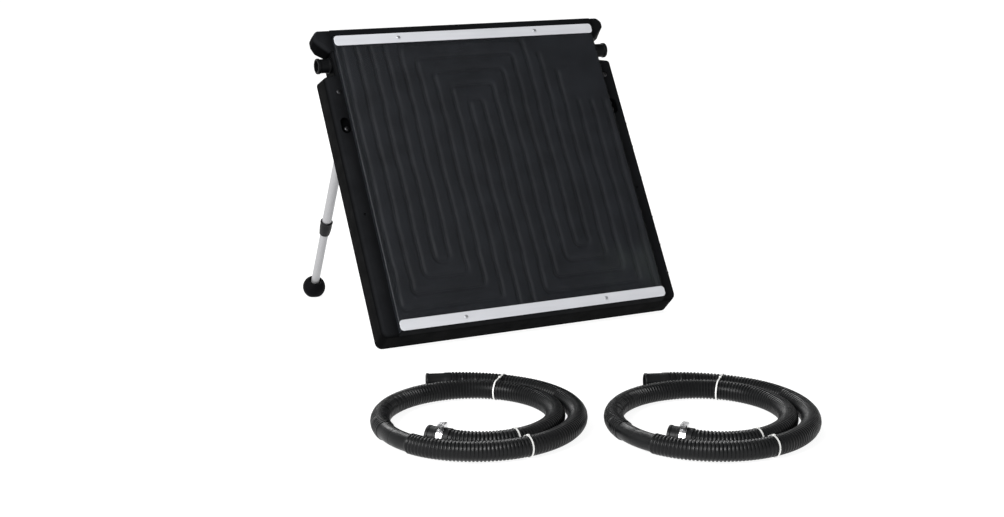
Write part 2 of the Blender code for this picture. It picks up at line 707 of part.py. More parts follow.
def make_hose(word, centre):
    route = hose_route(centre)
    curve = tube_curve(f"{word}_hose", route, HOSE_RADIUS)
    curve.materials.append(HOSE_BLACK)
    PARTS.objects.link(bpy.data.objects.new(f"{word}_hose", curve))

    place = route[-1]
    ahead = (route[-1] - route[-2]).normalized()
    profile = [
        (CUFF_BORE, -CUFF_GRIP), (CUFF_BORE, GAP), (CUFF_MOUTH, GAP), (CUFF_MOUTH, CUFF_FREE),
        (CUFF_RADIUS - 1 * MM, CUFF_FREE), (CUFF_RADIUS, CUFF_FREE - 1 * MM),
        (CUFF_RADIUS, CUFF_FREE - 5 * MM), (CUFF_WALL, CUFF_FREE - 6 * MM), (CUFF_WALL, -CUFF_GRIP),
    ]
    stand_along(turned(f"{word}_hose_cuff", profile, HOSE_BLACK, None), place, ahead)
    make_clamp(word, place - ahead * CLAMP_BACK, ahead)

    for kind, turns in TIE_PLACES:
        radii = [coil_radius(angle) for angle in turns]
        place = coil_place(centre, turns[0], (max(radii) + min(radii)) / 2)
        direction = hose_frame(centre, turns[0])[1]
        name = f"{word}_hose_{kind}_tie"
        half_wide = (max(radii) - min(radii)) / 2 + TIE_BORE
        tie = add(name, band_mesh(name, half_wide, TIE_BORE, TIE_WIDTH), WHITE)
        stand_along(tie, place, direction)


def make_clamp(word, place, ahead):
    """A worm clamp round the end cuff: a steel band with its screw housing on top, and the worm screw."""
    wall = 0.5 * MM
    profile = [
        (CLAMP_BORE, CLAMP_HALF), (CLAMP_BORE + wall, CLAMP_HALF),
        (CLAMP_BORE + wall, -CLAMP_HALF), (CLAMP_BORE, -CLAMP_HALF),
    ]
    band = turned(f"{word}_hose_clamp", profile, STEEL, None)
    settle(band)
    top = CLAMP_BORE + 0.2 * MM
    housing = box_mesh("housing", (-8 * MM, top, -6.5 * MM), (8 * MM, top + 9 * MM, 6.5 * MM))
    bevel_edges(housing, 2 * MM, 1, lambda a, b: min(a.y, b.y) > top + 8.9 * MM)
    combine(band, [housing], "UNION")
    screw_y = top + 4.8 * MM
    tunnel = cylinder_mesh("tunnel", (-0.012, screw_y, 0), (0.012, screw_y, 0), 3.4 * MM, 12)
    combine(band, [tunnel], "DIFFERENCE")
    settle(band)
    stand_along(band, place, ahead)

    profile = [
        (0, 15 * MM), (4.2 * MM, 15 * MM), (4.6 * MM, 14.4 * MM), (4.6 * MM, 8.4 * MM),
        (3.1 * MM, 8.4 * MM), (3.1 * MM, -9 * MM), (0, -9 * MM),
    ]
    screw = turned(f"{word}_hose_clamp_screw", profile, STEEL, None, 12)
    up = Vector((0, 0, 1))
    screw.matrix_world = matrix_of(up, ahead, up.cross(ahead), place + up * screw_y)


def shade_smooth():
    for obj in PARTS.objects:
        if obj.type == "MESH":
            obj.data.shade_smooth()
            obj.data.set_sharp_from_angle(angle=math.radians(35))


panel_frame = frame_empty("panel_frame", (0, PANEL_Y, PANEL_Z), TILT)
make_housing(panel_frame)
make_absorber(panel_frame)
make_headers(panel_frame)
make_ports(panel_frame)
make_cover(panel_frame)
make_strips(panel_frame)
for leg_side, leg_word in ((-1, "left"), (1, "right")):
    make_bracket(panel_frame, leg_side, leg_word)
    make_pin(panel_frame, leg_side, leg_word)
    make_leg(leg_side, leg_word)
for hose_word, hose_centre in zip(("left", "right"), HOSE_CENTRES):
    make_hose(hose_word, hose_centre)
shade_smooth()
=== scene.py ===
"""Looks of the solar pool-water heating panel, its folding legs and its two coiled hoses.

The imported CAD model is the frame. Each visible surface is rebuilt here in more detail around it: the
moulded tray, the labyrinth absorber under its clear sheet, the strips and screws, the ports, the legs and
the corrugated hoses. The panel's own axes are x to its right, y up along it and z out of its front.
"""

import json
import math

import bmesh
import bpy
import numpy as np
from mathutils import Matrix, Vector


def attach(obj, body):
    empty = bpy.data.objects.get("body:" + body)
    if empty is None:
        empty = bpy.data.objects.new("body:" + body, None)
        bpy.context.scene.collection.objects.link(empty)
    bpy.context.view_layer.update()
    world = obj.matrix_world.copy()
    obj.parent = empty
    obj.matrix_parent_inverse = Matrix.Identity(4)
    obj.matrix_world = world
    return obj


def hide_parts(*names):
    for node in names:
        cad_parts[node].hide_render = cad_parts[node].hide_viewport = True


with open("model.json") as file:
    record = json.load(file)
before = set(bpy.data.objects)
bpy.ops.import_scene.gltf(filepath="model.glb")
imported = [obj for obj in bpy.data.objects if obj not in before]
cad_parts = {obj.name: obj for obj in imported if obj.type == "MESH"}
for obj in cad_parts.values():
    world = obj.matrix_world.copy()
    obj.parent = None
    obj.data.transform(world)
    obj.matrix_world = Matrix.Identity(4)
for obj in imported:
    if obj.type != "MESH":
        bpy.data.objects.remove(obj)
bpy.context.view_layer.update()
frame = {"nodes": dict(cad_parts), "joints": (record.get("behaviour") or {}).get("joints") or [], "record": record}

MM = 0.001
JOINTS = {joint["name"]: joint for joint in frame["joints"]}
MOUNTS = {mount["name"]: mount for mount in frame["record"]["mounts"]}
SIDES = ((-1, "left"), (1, "right"))


# ---------------- places taken from the frame


def leaning(axis):
    """The turn about X that takes -Z to this axis."""
    return Matrix.Rotation(math.atan2(axis[1], -axis[2]), 4, "X")


# The right leg's pin in the panel's own axes.
PIVOT_IN_PANEL = Vector((0.334, 0.487, -0.050))
RIGHT_PIVOT = Vector(JOINTS["right_leg_fold"]["pos_m"])
PANEL_TURN = leaning(MOUNTS["back_rim"]["axis"])
PANEL = Matrix.Translation(RIGHT_PIVOT - PANEL_TURN @ PIVOT_IN_PANEL) @ PANEL_TURN
LEG_TURN = leaning(JOINTS["right_leg_extend"]["axis"])


def leg_place(word):
    """A placing with its origin at a leg's pin and z up along the leg."""
    return Matrix.Translation(JOINTS[f"{word}_leg_fold"]["pos_m"]) @ LEG_TURN


# ---------------- materials


def node_input(node, name, value):
    node.inputs[name].default_value = value


def set_range(node, low, high, start, end):
    """Makes a Map Range node turn start to end into low to high."""
    for name, value in (("To Min", low), ("To Max", high), ("From Min", start), ("From Max", end)):
        node_input(node, name, value)


class Finish:
    """A Principled material whose colour, roughness and bump come from procedural textures."""

    def __init__(self, name, colour, roughness, metallic=0.0, specular=0.5):
        self.material = bpy.data.materials.new(name)
        self.material.use_nodes = True
        self.tree = self.material.node_tree
        self.shader = self.tree.nodes["Principled BSDF"]
        self.colour = colour
        self.roughness = roughness
        node_input(self.shader, "Base Color", (*colour, 1))
        node_input(self.shader, "Roughness", roughness)
        node_input(self.shader, "Metallic", metallic)
        node_input(self.shader, "Specular IOR Level", specular)
        self.place = self.node("TexCoord").outputs["Object"]
        self.normal = None

    def node(self, kind):
        return self.tree.nodes.new(f"ShaderNode{kind}")

    def link(self, start, end):
        self.tree.links.new(start, end)

    def noise(self, scale, detail, stretch=(1, 1, 1)):
        """A noise pattern fixed to the object, about 0.3 to 0.7 over most of the surface."""
        mapping, texture = self.node("Mapping"), self.node("TexNoise")
        node_input(mapping, "Scale", stretch)
        node_input(texture, "Scale", scale)
        node_input(texture, "Detail", detail)
        self.link(self.place, mapping.inputs["Vector"])
        self.link(mapping.outputs["Vector"], texture.inputs["Vector"])
        return texture.outputs["Fac"]

    def ranged(self, value, low, high, start=0.3, end=0.7):
        """A value between start and end, turned into one between low and high."""
        node = self.node("MapRange")
        set_range(node, low, high, start, end)
        self.link(value, node.inputs["Value"])
        return node.outputs["Result"]

    def mottle(self, value, share):
        """Colour that varies around the base by a share either way."""
        dark, pale = [[c * (1 + way * share) for c in self.colour] for way in (-1, 1)]
        self.blend(self.ranged(value, 0, 1), dark, pale)

    def product(self, first, second):
        node = self.node("Math")
        node.operation = "MULTIPLY"
        self.link(first, node.inputs[0])
        self.link(second, node.inputs[1])
        return node.outputs["Value"]

    def blend(self, share, first, second):
        """Colour that runs from one to another."""
        mix = self.node("Mix")
        mix.data_type = "RGBA"
        node_input(mix, "A", (*first, 1))
        node_input(mix, "B", (*second, 1))
        self.link(share, mix.inputs["Factor"])
        self.link(mix.outputs["Result"], self.shader.inputs["Base Color"])

    def worn(self, value, spread):
        """Roughness that varies by a spread either way."""
        result = self.ranged(value, self.roughness - spread, self.roughness + spread)
        self.link(result, self.shader.inputs["Roughness"])

    def bumpy(self, value, strength, distance):
        """A bump from a pattern, on top of the bumps already there."""
        bump = self.node("Bump")
        node_input(bump, "Strength", strength)
        node_input(bump, "Distance", distance)
        self.link(value, bump.inputs["Height"])
        if self.normal:
            self.link(self.normal, bump.inputs["Normal"])
        self.normal = bump.outputs["Normal"]
        self.link(self.normal, self.shader.inputs["Normal"])


def moulded(name, colour, roughness, specular, grain=0.25):
    """Moulded polyethylene: mottled, with a fine leather-like grain over faint, broad waves."""
    finish = Finish(name, colour, roughness, specular=specular)
    finish.mottle(finish.noise(14, 4), 0.22)
    finish.worn(finish.noise(30, 5), 0.09)
    finish.bumpy(finish.noise(1100, 2), grain, 0.00025)
    finish.bumpy(finish.noise(26, 2), 0.12, 0.0012)
    return finish.material


def tray_plastic():
    """The tray's polyethylene: nearly black walls taken darker as painted shade, and a flange painted lighter as
    if lit, in random patches, with a painted highlight along its left rim.
    """
    # The wall colour is the plastic's near-black taken darker as painted shade; the flange colour is painted
    # light.
    walls, painted_flange_light = (0.0018, 0.0019, 0.0021), (0.0128, 0.0134, 0.0149)
    wall_z, flange_z = -0.024, -0.0175
    rim_x, inner_x = -0.352, -0.334
    finish = Finish("body_black", walls, 0.5, specular=0.006)
    axes = finish.node("SeparateXYZ")
    finish.link(finish.place, axes.inputs["Vector"])
    # Painted light mask: full on the front flange, a painted highlight strongest at the left rim, broken into
    # random patches.
    front = finish.ranged(axes.outputs["Z"], 0, 1, wall_z, flange_z)
    painted_rim_highlight = finish.ranged(axes.outputs["X"], 1, 0.5, rim_x, inner_x)
    patches = finish.ranged(finish.noise(16, 4), 0.6, 1.0)
    finish.blend(finish.product(finish.product(front, painted_rim_highlight), patches), walls, painted_flange_light)
    finish.worn(finish.noise(30, 5), 0.08)
    finish.bumpy(finish.noise(1100, 2), 0.15, 0.00025)
    return finish.material


def satin_metal(name, colour, roughness, stretch, metallic=1.0):
    """Drawn or brushed metal: fine streaks along one way, with soft smudges."""
    finish = Finish(name, colour, roughness, metallic)
    finish.mottle(finish.noise(60, 4, stretch), 0.06)
    finish.worn(finish.noise(18, 5), 0.07)
    finish.bumpy(finish.noise(420, 3, stretch), 0.08, 0.0002)
    return finish.material


def rubbery(name, colour):
    """Matt rubber with a coarse, dusty skin."""
    finish = Finish(name, colour, 0.6, specular=0.03)
    finish.mottle(finish.noise(40, 4), 0.3)
    finish.worn(finish.noise(60, 4), 0.1)
    finish.bumpy(finish.noise(1500, 3), 0.35, 0.0003)
    return finish.material


def clear_film():
    """Clear plastic film: smoky, with a soft gloss, and reflection streaks painted into its colour in a patch by
    its lower right corner, which also bump it.
    """
    # smoke is the film's own tint; the paler colour is painted reflected light.
    smoke, painted_reflection_colour = (0.010, 0.011, 0.012), (0.027, 0.033, 0.030)
    patch_centre, patch_core, patch_edge = (0.268, 0.085, 0), 0.02, 0.105
    finish = Finish("clear_film", smoke, 0.26, specular=0.22)
    node_input(finish.shader, "Alpha", 0.27)
    reach = finish.node("VectorMath")
    reach.operation = "DISTANCE"
    finish.link(finish.place, reach.inputs[0])
    node_input(reach, 1, patch_centre)
    near = finish.ranged(reach.outputs["Value"], 1, 0, patch_core, patch_edge)
    streaks = finish.ranged(finish.noise(17, 1, (1.0, 0.45, 1)), 0, 1, 0.46, 0.62)
    # Painted reflection: light streaks in a patch by the lower right corner; the same mask also bumps the film.
    reflection_streaks = finish.product(near, streaks)
    finish.blend(reflection_streaks, smoke, painted_reflection_colour)
    finish.worn(finish.noise(12, 4), 0.04)
    finish.bumpy(finish.noise(7, 2), 0.05, 0.003)
    finish.bumpy(reflection_streaks, 0.3, 0.002)
    return finish.material


TRAY_BLACK = tray_plastic()
PORT_BLACK = moulded("port_black", (0.0035, 0.0038, 0.0042), 0.45, 0.08, 0.1)
CHARCOAL = moulded("absorber_charcoal", (0.0275, 0.0300, 0.0368), 0.50, 0.20, 0.08)
CLEAR = clear_film()
STRIP_SILVER = satin_metal("strip_silver", (0.68, 0.69, 0.725), 0.45, (0.04, 1, 1), 0.35)
TUBE_SILVER = satin_metal("tube_silver", (0.36, 0.36, 0.37), 0.40, (1, 1, 0.03), 0.45)
STEEL = satin_metal("bright_steel", (0.72, 0.72, 0.73), 0.24, (1, 1, 1))
DARK_STEEL = satin_metal("blackened_steel", (0.055, 0.055, 0.058), 0.36, (1, 1, 1))
BRACKET_STEEL = satin_metal("zinc_steel", (0.50, 0.51, 0.53), 0.38, (1, 0.2, 1))
RUBBER = rubbery("foot_rubber", (0.0035, 0.0035, 0.0042))
HOSE_BLACK = moulded("hose_black", (0.0035, 0.0038, 0.0042), 0.36, 0.22, 0.08)
CUFF_BLACK = moulded("cuff_black", (0.0050, 0.0053, 0.0060), 0.42, 0.18, 0.1)
TIE_WHITE = moulded("tie_white", (0.80, 0.80, 0.78), 0.5, 0.4, 0.05)


# ---------------- shape tools

WELD = 1e-7


def millimetres(points):
    """Points given in millimetres, in metres."""
    return [tuple(c * MM for c in point) for point in points]


def moved(x, y, z):
    """A move given in millimetres."""
    return Matrix.Translation(Vector((x, y, z)) * MM)


def finished(bm, name):
    """A mesh from a bmesh, welded and facing outward."""
    bmesh.ops.remove_doubles(bm, verts=bm.verts, dist=WELD)
    bm.normal_update()
    bmesh.ops.recalc_face_normals(bm, faces=bm.faces)
    mesh = bpy.data.meshes.new(name)
    bm.to_mesh(mesh)
    bm.free()
    return mesh


def loft(name, rings, capped=False, looped=False):
    """Quads between closed rings of points. looped joins the last ring to the first."""
    bm = bmesh.new()
    rows = [[bm.verts.new(point) for point in ring] for ring in rings]
    pairs = list(zip(rows, rows[1:]))
    if looped:
        pairs.append((rows[-1], rows[0]))
    count = len(rows[0])
    for first, second in pairs:
        for i in range(count):
            j = (i + 1) % count
            bm.faces.new((first[i], first[j], second[j], second[i]))
    if capped:
        bm.faces.new(rows[0])
        bm.faces.new(rows[-1])
    return finished(bm, name)


def soft_step(value, start, end):
    """0 before the start, 1 past the end, and an S curve between them."""
    share = np.clip((value - start) / (end - start), 0, 1)
    return share * share * (3 - 2 * share)


def arc_points(centre, radius, start, end, steps):
    """Points on an arc, from a start to an end angle in degrees."""
    angles = [math.radians(start + (end - start) * i / steps) for i in range(steps + 1)]
    return [(centre[0] + radius * math.cos(a), centre[1] + radius * math.sin(a)) for a in angles]


def rounded(corners, steps=6, closed=True):
    """A flat line through corners (x, y, radius), each rounded to its radius."""
    points = []
    for i, (x, y, radius) in enumerate(corners):
        if radius == 0 or (not closed and i in (0, len(corners) - 1)):
            points.append((x, y))
            continue
        here = Vector((x, y))
        back = (Vector(corners[i - 1][:2]) - here).normalized()
        on = (Vector(corners[(i + 1) % len(corners)][:2]) - here).normalized()
        half = back.angle(on) / 2
        centre = here + (back + on).normalized() * (radius / math.sin(half))
        start = here + back * (radius / math.tan(half)) - centre
        end = here + on * (radius / math.tan(half)) - centre
        first = math.atan2(start.y, start.x)
        sweep = (math.atan2(end.y, end.x) - first + math.pi) % math.tau - math.pi
        for k in range(steps + 1):
            angle = first + sweep * k / steps
            points.append((centre.x + radius * math.cos(angle), centre.y + radius * math.sin(angle)))
    return points


def lathe(name, profile, steps=48, loop=True):
    """A turned shape about z from a profile of (radius, z). loop closes the profile on itself."""
    rings = []
    for radius, z in profile:
        angles = [math.tau * i / steps for i in range(steps)]
        rings.append([(radius * math.cos(a), radius * math.sin(a), z) for a in angles])
    return loft(name, rings, looped=loop)


def block(name, low, high, edge=0.0):
    """A box between two corners, with rounded edges if an edge radius is given."""
    bm = bmesh.new()
    bmesh.ops.create_cube(bm, size=1)
    for vert in bm.verts:
        vert.co = [(a + b) / 2 + (b - a) * c for a, b, c in zip(low, high, vert.co)]
    if edge:
        bmesh.ops.bevel(bm, geom=bm.edges[:], offset=edge, segments=2, profile=0.5, affect="EDGES")
    return finished(bm, name)


def panel_block(name, low, high, side=1, edge=0.0):
    """A box in millimetres, given as it is on the panel's right."""
    left, right = sorted((side * low[0], side * high[0]))
    return block(name, *millimetres([(left, *low[1:]), (right, *high[1:])]), edge)


def prism(name, outline, low, high, edge):
    """A flat outline given thickness along z, its front and back rims rounded by an edge radius."""
    steps = 3
    rings = []
    for k in range(steps + 1):
        angle = math.pi / 2 * k / steps
        inset = edge * (1 - math.sin(angle))
        rings.append((inset, low + edge * (1 - math.cos(angle))))
    rings += [(inset, low + high - z) for inset, z in reversed(rings)]
    shrunk = [[(x, y, z) for x, y in inward(outline, inset)] for inset, z in rings]
    return loft(name, shrunk, capped=True)


def inward(outline, distance):
    """A closed outline, listed anticlockwise, moved inward by a distance."""
    if distance == 0:
        return outline
    points = []
    for i, here in enumerate(outline):
        here = Vector(here)
        back, on = here - Vector(outline[i - 1]), Vector(outline[(i + 1) % len(outline)]) - here
        normal = (back.normalized() + on.normalized()).normalized()
        normal = Vector((-normal.y, normal.x))
        points.append(tuple(here + normal * distance))
    return points


def plugged(mesh, place=Matrix.Identity(4)):
    """The mesh with its open ends closed, then placed."""
    bm = bmesh.new()
    bm.from_mesh(mesh)
    bmesh.ops.holes_fill(bm, edges=bm.edges)
    bm.transform(place)
    return finished(bm, mesh.name)


def bar(name, start, end, radius, steps=24):
    """A round bar between two points."""
    start, end = Vector(start), Vector(end)
    mesh = lathe(name, [(radius, 0), (radius, (end - start).length)], steps, loop=False)
    turn = (end - start).to_track_quat("Z", "Y").to_matrix().to_4x4()
    return plugged(mesh, Matrix.Translation(start) @ turn)


def mirrored(mesh, side):
    """The mesh, or its mirror image in x for the left side."""
    if side > 0:
        return mesh
    bm = bmesh.new()
    bm.from_mesh(mesh)
    bm.transform(Matrix.Scale(-1, 4, (1, 0, 0)))
    return finished(bm, mesh.name)


def boolean(base, tools, operation):
    """The base mesh with the tools cut away or joined on."""
    scene = bpy.context.scene.collection
    objects = [bpy.data.objects.new(mesh.name, mesh) for mesh in [base, *tools]]
    for obj in objects:
        scene.objects.link(obj)
    for tool in objects[1:]:
        modifier = objects[0].modifiers.new(tool.name, "BOOLEAN")
        modifier.operation = operation
        modifier.object = tool
    bpy.context.view_layer.update()
    graph = bpy.context.evaluated_depsgraph_get()
    mesh = bpy.data.meshes.new_from_object(objects[0].evaluated_get(graph))
    for obj in objects:
        bpy.data.objects.remove(obj)
    mesh.name = base.name
    mesh.materials.clear()
    return mesh


def piece(name, mesh, material, body, place=Matrix.Identity(4), replaces=(), angle=32):
    """A visible piece that rides on a body, smooth where its faces meet gently."""
    obj = bpy.data.objects.new(name, mesh)
    bpy.context.scene.collection.objects.link(obj)
    mesh.materials.append(material)
    mesh.shade_smooth()
    mesh.set_sharp_from_angle(angle=math.radians(angle))
    obj.modifiers.new("even_shading", "WEIGHTED_NORMAL").keep_sharp = True
    obj.matrix_world = place
    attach(obj, body)
    if replaces:
        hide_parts(*replaces)
    return obj


def repaint(name, material):
    """A better finish for a CAD node whose shape is right."""
    obj = frame["nodes"][name]
    obj.data.materials.clear()
    obj.data.materials.append(material)


# ---------------- camera, light and floor


def make_camera():
    """The photograph's view: from the front left and a little above."""
    camera = bpy.data.objects.new("camera", bpy.data.cameras.new("camera"))
    camera.data.sensor_width = 36
    camera.data.lens = 57.37
    camera.location = (-1.5661, -3.3041, 1.0174)
    camera.rotation_euler = (math.radians(76.1156), 0, math.radians(-26.0093))
    bpy.context.scene.collection.objects.link(camera)
    bpy.context.scene.camera = camera


def make_light(name, place, target, size, power):
    """A white rectangular lamp that faces a target."""
    light = bpy.data.lights.new(name, "AREA")
    light.shape = "RECTANGLE"
    light.size, light.size_y = size
    light.energy = power
    obj = bpy.data.objects.new(name, light)
    obj.location = place
    obj.rotation_euler = (Vector(target) - Vector(place)).to_track_quat("-Z", "Y").to_euler()
    bpy.context.scene.collection.objects.link(obj)


def make_studio():
    """Soft light, strongest from the left, over a white paper floor."""
    scene = bpy.context.scene
    scene.view_settings.view_transform = "Standard"
    scene.world = make_sky()
    make_light("key", (-3.4, -1.9, 2.6), (0, 0, 0.2), (1.6, 1.6), 170)
    make_light("fill", (3.6, -1.6, 1.2), (0, 0, 0.3), (1.6, 1.6), 3)
    make_light("back", (0.4, 3.2, 2.6), (0, 0, 0.4), (3.0, 1.2), 110)

    reach, thick = 30, 0.02
    floor = bpy.data.objects.new("floor", block("floor", (-reach, -reach, -thick), (reach, reach, 0)))
    scene.collection.objects.link(floor)
    paper = Finish("paper_floor", (0.28, 0.28, 0.28), 0.9, specular=0.0)
    paper.mottle(paper.noise(3, 2), 0.01)
    node_input(paper.shader, "Emission Color", (1, 1, 1, 1))
    node_input(paper.shader, "Emission Strength", 0.9)
    floor.data.materials.append(paper.material)


def make_sky():
    """A white surround that darkens overhead, and more so to the right, as a dark studio ceiling would."""
    world = bpy.data.worlds.new("studio")
    world.use_nodes = True
    tree = world.node_tree
    place = tree.nodes.new("ShaderNodeTexCoord").outputs["Generated"]
    axes = tree.nodes.new("ShaderNodeSeparateXYZ")
    tree.links.new(place, axes.inputs["Vector"])
    shares = []
    for axis, low, high, start, end in (("Z", 0, 1, 0.15, 0.5), ("X", 0.42, 1.00, 0.30, 0.50)):
        node = tree.nodes.new("ShaderNodeMapRange")
        node.interpolation_type = "SMOOTHSTEP"
        set_range(node, low, high, start, end)
        tree.links.new(axes.outputs[axis], node.inputs["Value"])
        shares.append(node.outputs["Result"])
    darkening, rest = [tree.nodes.new("ShaderNodeMath") for _ in range(2)]
    darkening.operation, rest.operation = "MULTIPLY", "SUBTRACT"
    for value, socket in zip(shares, darkening.inputs):
        tree.links.new(value, socket)
    node_input(rest, 0, 1.0)
    tree.links.new(darkening.outputs["Value"], rest.inputs[1])
    tree.links.new(rest.outputs["Value"], tree.nodes["Background"].inputs["Strength"])
    node_input(tree.nodes["Background"], "Color", (1, 1, 1, 1))
    return world


# ---------------- hoses

HOSE_Z = 21 * MM
HOSE_CENTRES = {"left": (-0.374, -0.750), "right": (0.014, -0.939)}
HOSE_TURN = math.radians(-26)
OUTER_COIL, INNER_COIL = 189 * MM, 151 * MM
HOSE_START, HOSE_END, HOSE_STRAIGHT = -20, 556, 30 * MM
# Degrees along the coil: where its flare ends, and where it moves inside, creeps inward and tucks in.
FLARE_STOPS, MOVES_IN, CREEPS_FROM, TUCKS_FROM = 30, (200, 370), 370, 500
RIB_PITCH, RIB_CREST, RIB_VALLEY = 6.6 * MM, 18.8 * MM, 17.2 * MM
START_CUFF, PLAIN_LENGTH = 37 * MM, 12 * MM
MIDDLE_CUFF, MIDDLE_HALF = 0.86, 40 * MM
TIE_BORE, TIE_WIDTH, TIE_THICK = 19.4 * MM, 2.8 * MM, 0.9 * MM


def coil_radius(angle):
    """Radius of the coil's centreline, angles in degrees clockwise from the far side."""
    radius = OUTER_COIL + (INNER_COIL - OUTER_COIL) * soft_step(angle, *MOVES_IN)
    flare = max(0, FLARE_STOPS - angle) ** 2 * 0.0083 * MM
    tuck = max(0, angle - TUCKS_FROM) ** 2 * 0.002 * MM
    return radius + flare - tuck - max(0, angle - CREEPS_FROM) * 0.04 * MM


def coil_place(centre, angle, radius):
    """The point at an angle and a radius about a coil's centre, at the hose's own height."""
    turn = math.radians(90 - angle) + HOSE_TURN
    return Vector((centre[0] + radius * math.cos(turn), centre[1] + radius * math.sin(turn), HOSE_Z))


def hose_point(centre, angle):
    return coil_place(centre, angle, coil_radius(angle))


def hose_way(centre, angle):
    return (hose_point(centre, angle + 1) - hose_point(centre, angle - 1)).normalized()


def hose_line(centre):
    """The hose's centreline: a coil of 1.6 turns between two short straight ends."""
    angles = np.arange(HOSE_START, HOSE_END + 0.1, 0.5)
    coil = [hose_point(centre, angle) for angle in angles]
    first = coil[0] - hose_way(centre, HOSE_START) * HOSE_STRAIGHT
    last = coil[-1] + hose_way(centre, HOSE_END) * HOSE_STRAIGHT
    return [first, *coil, last]


def along(line, distances):
    """Points at given distances along a line of points, each with its direction, and the line's length."""
    points = np.array(line)
    steps = np.linalg.norm(np.diff(points, axis=0), axis=1)
    reach = np.concatenate([[0], np.cumsum(steps)])
    found = []
    for distance in distances:
        i = min(int(np.searchsorted(reach, distance, side="right")) - 1, len(steps) - 1)
        i = max(i, 0)
        share = (distance - reach[i]) / steps[i]
        place = points[i] + (points[i + 1] - points[i]) * share
        ahead, behind = points[min(i + 2, len(points) - 1)], points[max(i - 1, 0)]
        way = Vector(ahead - behind).normalized()
        found.append((Vector(place), way))
    return found, float(reach[-1])


def ribs(start, end):
    """(distance, radius) of the corrugations over one stretch of hose."""
    count = round((end - start) / RIB_PITCH)
    pitch = (end - start) / count
    made = []
    for i in range(count):
        at = start + pitch * i
        made += [(at + pitch * 0.14, RIB_VALLEY), (at + pitch * 0.34, RIB_CREST)]
        made += [(at + pitch * 0.72, RIB_CREST), (at + pitch * 0.92, RIB_VALLEY)]
    return made


def hose_profile(length):
    """(distance, radius) along the hose: a smooth cuff, ribs, a double cuff in the middle, ribs."""
    cuff, middle, half = START_CUFF, MIDDLE_CUFF, MIDDLE_HALF
    stations = [(0, 15.6 * MM), (0.4 * MM, 17.4 * MM), (1.6 * MM, 18.1 * MM), (5 * MM, 18.1 * MM)]
    stations += [(6.5 * MM, 17.1 * MM), (cuff - 2 * MM, 17.1 * MM), (cuff, 17.9 * MM)]
    stations += [(cuff + PLAIN_LENGTH, 18.1 * MM)]
    stations += ribs(cuff + PLAIN_LENGTH + 1 * MM, middle - half)
    stations += [(middle - half + 1.5 * MM, 17.3 * MM), (middle - half + 4 * MM, 16.6 * MM)]
    stations += [(middle - 2 * MM, 16.6 * MM), (middle - 1 * MM, 16.1 * MM), (middle + 1 * MM, 16.1 * MM)]
    stations += [(middle + 2 * MM, 16.6 * MM), (middle + half - 4 * MM, 16.6 * MM)]
    stations += [(middle + half - 1.5 * MM, 17.3 * MM)]
    stations += ribs(middle + half, length - 28 * MM)
    stations += [(length - 26 * MM, 17.6 * MM), (length - 1 * MM, 17.6 * MM), (length, 16.5 * MM)]
    return stations


def swept(line, stations):
    """The rings of a tube of changing radius along a level line, and the rings' centres."""
    long_step = 9 * MM
    distances = [a for a, _ in stations]
    thirds = []
    for a, b in zip(distances, distances[1:]):
        thirds += [a + (b - a) * k / 3 for k in (1, 2) if b - a > long_step]
    full = sorted({*distances, *thirds})
    radii = np.interp(full, distances, [r for _, r in stations])
    found, _ = along(line, full)
    sides = 20
    rings, centres = [], []
    for (place, way), radius in zip(found, radii):
        side = Vector((0, 0, 1)).cross(way).normalized()
        up = way.cross(side)
        angles = [math.tau * i / sides for i in range(sides)]
        rings.append([place + (side * math.cos(a) + up * math.sin(a)) * radius for a in angles])
        centres.append(place)
    return rings, centres


def make_hose(word):
    """One coiled hose, open at its start, with its end cuff and ties, gathered with the frame's worm clamp."""
    centre = HOSE_CENTRES[word]
    line = hose_line(centre)
    _, length = along(line, [0])
    rings, centres = swept(line, hose_profile(length))
    mouth, mouth_centres = swept(line, [(0, 15.6 * MM), (5 * MM, 15.4 * MM), (34 * MM, 15.4 * MM)])
    rings = mouth[:0:-1] + rings
    centres = mouth_centres[:0:-1] + centres
    mesh = loft(f"{word}_hose_tube", rings, capped=True)
    hose = piece(
        f"{word}_corrugated_hose", mesh, HOSE_BLACK, "root",
        replaces=[f"{word}_hose"], angle=50,
    )
    end_place, end_way = line[-1], (line[-1] - line[-2]).normalized()
    extras = [make_cuff(word, end_place, end_way)]
    extras += [frame["nodes"][f"{word}_hose_clamp"], frame["nodes"][f"{word}_hose_clamp_screw"]]
    extras += make_ties(word, centre)


def along_matrix(place, way):
    """A placing whose z runs along the hose, with x level and y up."""
    side = Vector((0, 0, 1)).cross(way).normalized()
    turn = Matrix((side, way.cross(side), way)).transposed().to_4x4()
    return Matrix.Translation(place) @ turn


def make_cuff(word, place, way):
    """The flanged end cuff that the worm clamp squeezes."""
    corners = [
        (19.1, -26, 0.3), (19.1, 0.4, 0.3), (15.6, 0.6, 0.5), (15.6, 20, 1.2), (20.9, 20, 1.4),
        (20.9, 14.6, 1.2), (19.9, 13.6, 0.6), (19.9, 4, 0.4), (20.2, 3, 0.3), (20.2, -26, 0.8),
    ]
    mesh = lathe(f"{word}_cuff", millimetres(rounded(corners, 3)), 40)
    return piece(
        f"{word}_end_cuff", mesh, CUFF_BLACK, "root", along_matrix(place, way),
        [f"{word}_hose_cuff"],
    )


def tie_loop(half_wide, radius, width, thick):
    """A strap loop: a stadium round one or two hose turns."""
    straight = half_wide - radius
    rings = []
    for grow, z in ((0, -width / 2), (thick, -width / 2), (thick, width / 2), (0, width / 2)):
        ends = arc_points((straight, 0), radius + grow, -90, 90, 12)
        ends += arc_points((-straight, 0), radius + grow, 90, 270, 12)
        rings.append([(x, y, z) for x, y in ends])
    return loft("tie", rings, looped=True)


